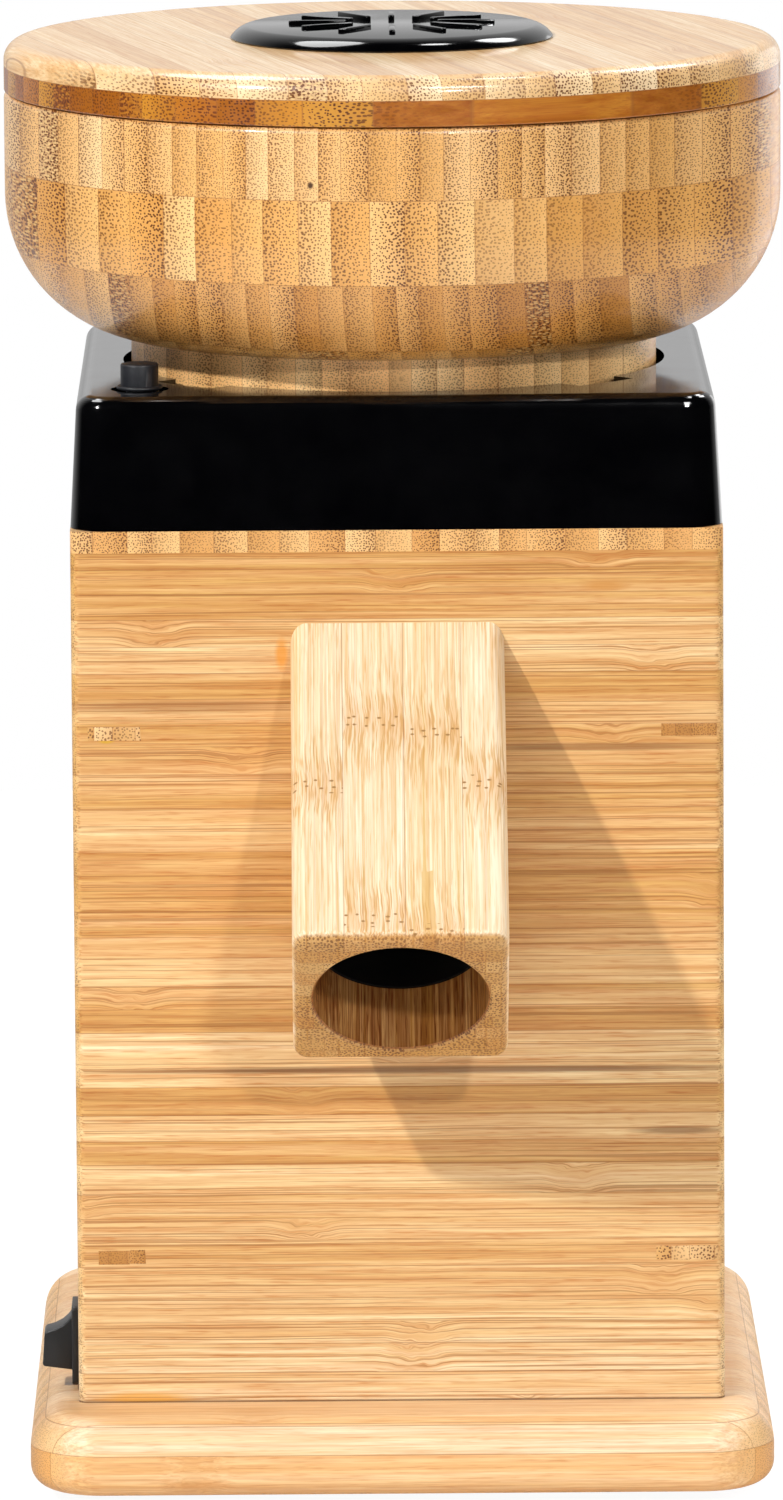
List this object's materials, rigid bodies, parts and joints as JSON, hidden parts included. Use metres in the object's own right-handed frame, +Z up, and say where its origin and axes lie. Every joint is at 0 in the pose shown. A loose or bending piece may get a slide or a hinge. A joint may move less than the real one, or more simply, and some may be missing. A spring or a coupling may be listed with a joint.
{
  "type": "electric grain mill",
  "caption": "Electric stone grain mill with a square bamboo case, black top cover, round bamboo hopper that turns to set the grind, flat lid, 45 degree spout and rocker switch.",
  "frame": {"origin": "on the mill's upright axis, in the plane that the rubber feet stand on", "axes": "+Z up along the motor shaft and hopper axis, -Y towards the spout, +X to the right seen from the spout side"},
  "size_m": [0.2036, 0.2583, 0.3753],
  "materials": {
    "bamboo": "satin lacquered bamboo, edge grain and face grain",
    "bamboo_end": "satin lacquered end-grain bamboo staves",
    "gloss_black": "gloss black moulded plastic",
    "black_plastic": "matt black moulded plastic",
    "slate_plastic": "matt dark slate plastic",
    "white_plastic": "natural acetal",
    "rubber": "matt black rubber",
    "steel": "zinc-plated steel",
    "lamination": "stacked electrical steel",
    "aluminium": "die-cast and turned aluminium",
    "copper": "enamelled copper winding, varnished",
    "can": "capacitor can",
    "felt": "pressed wool felt",
    "millstone": "corundum and ceramic millstone"
  },
  "bodies": {
    "housing": {"base_board": "bamboo", "rubber_feet": "rubber", "foot_screws": "steel", "base_screws": "steel", "front_panel": "bamboo", "back_panel": "bamboo", "left_panel": "bamboo", "right_panel": "bamboo", "corner_blocks": "bamboo", "top_deck": "bamboo", "top_cover": "gloss_black", "cover_screws": "steel", "spout": "bamboo", "flour_chute": "black_plastic", "chute_screws": "steel", "milling_chamber": "aluminium", "chamber_screws": "steel", "shaft_seal": "felt", "guide_ring": "aluminium", "guide_pins": "steel", "lift_springs": "steel", "motor_posts": "aluminium", "upper_bracket": "aluminium", "lower_bracket": "aluminium", "stator_core": "lamination", "stator_windings": "copper", "motor_bolts": "steel", "bearing_outer_rings": "steel", "bearing_balls": "steel", "run_capacitor": "can", "capacitor_clip": "steel", "switch_body": "black_plastic", "cable_gland": "black_plastic", "gland_nut": "black_plastic", "lock_guide": "black_plastic", "lock_spring": "steel"},
    "stone_carrier": {"stone_carrier": "aluminium", "upper_stone": "millstone", "stone_screws": "steel", "glide_ring": "white_plastic"},
    "hopper": {"hopper_bowl": "bamboo_end", "hopper_neck": "bamboo_end", "adjusting_ring": "aluminium", "ring_screws": "steel", "feed_throat": "aluminium", "throat_screws": "steel", "finger_guard": "steel"},
    "lid": {"lid": "bamboo", "knob_plate": "gloss_black", "knob_screws": "steel"},
    "release_button": {"release_button": "slate_plastic", "lock_pawl": "steel"},
    "switch_paddle": {"switch_paddle": "black_plastic"},
    "rotor": {"motor_shaft": "steel", "rotor_core": "lamination", "cooling_fan": "black_plastic", "bearing_inner_rings": "steel", "stone_runner": "aluminium", "lower_stone": "millstone", "runner_nut": "steel"}
  },
  "joints": [
    {"name": "stone_lift", "type": "slide", "parent": "housing", "child": "stone_carrier", "axis": [0, 0, 1], "range_m": [0, 0.0031], "deforming": ["lift_springs"]},
    {"name": "hopper_turn", "type": "hinge", "parent": "stone_carrier", "child": "hopper", "pos_m": [0, 0, 0.3576], "axis": [0, 0, 1], "range_deg": [0, 270]},
    {"name": "lid_lift", "type": "slide", "parent": "hopper", "child": "lid", "axis": [0, 0, 1], "range_m": [0, 0.06]},
    {"name": "lock_press", "type": "slide", "parent": "housing", "child": "release_button", "axis": [0, 0, -1], "range_m": [0, 0.004], "stiffness_N_per_m": 400, "springref_m": -0.003, "deforming": ["lock_spring"]},
    {"name": "switch_rock", "type": "hinge", "parent": "housing", "child": "switch_paddle", "pos_m": [-0.084, -0.06, 0.0353], "axis": [0, -1, 0], "range_deg": [0, 24]},
    {"name": "motor_spin", "type": "hinge", "parent": "housing", "child": "rotor", "pos_m": [0, 0, 0.2535], "axis": [0, 0, 1], "continuous": true}
  ],
  "couplings": [
    {"joint": "stone_lift", "follows": "hopper_turn", "m_per_rad": 0.00063662}
  ]
}
